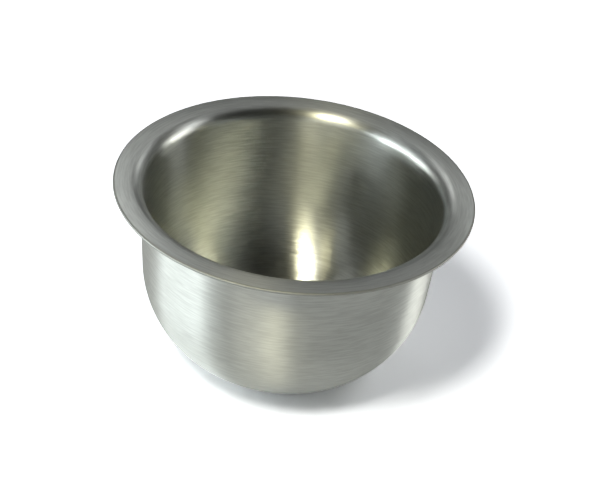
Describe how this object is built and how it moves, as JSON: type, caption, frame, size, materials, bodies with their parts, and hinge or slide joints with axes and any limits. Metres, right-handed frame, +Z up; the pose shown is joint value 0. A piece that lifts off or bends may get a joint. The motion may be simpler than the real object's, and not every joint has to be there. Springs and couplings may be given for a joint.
{
  "type": "evaporating dish",
  "caption": "Round brushed steel evaporating dish with a deep rounded bowl, a flat foot and a narrow flat flange, for boiling a liquid down over gentle heat.",
  "frame": {"origin": "centre of the foot's flat underside, on the table", "axes": "+Z up along the bowl's axis of symmetry; X and Y lie on the table, and the round form makes their direction free"},
  "size_m": [0.08, 0.08, 0.0435],
  "materials": {
    "steel": "stainless steel, brushed round the axis on the bowl and the flange"
  },
  "bodies": {
    "root": {"dish": "steel"}
  },
  "joints": []
}
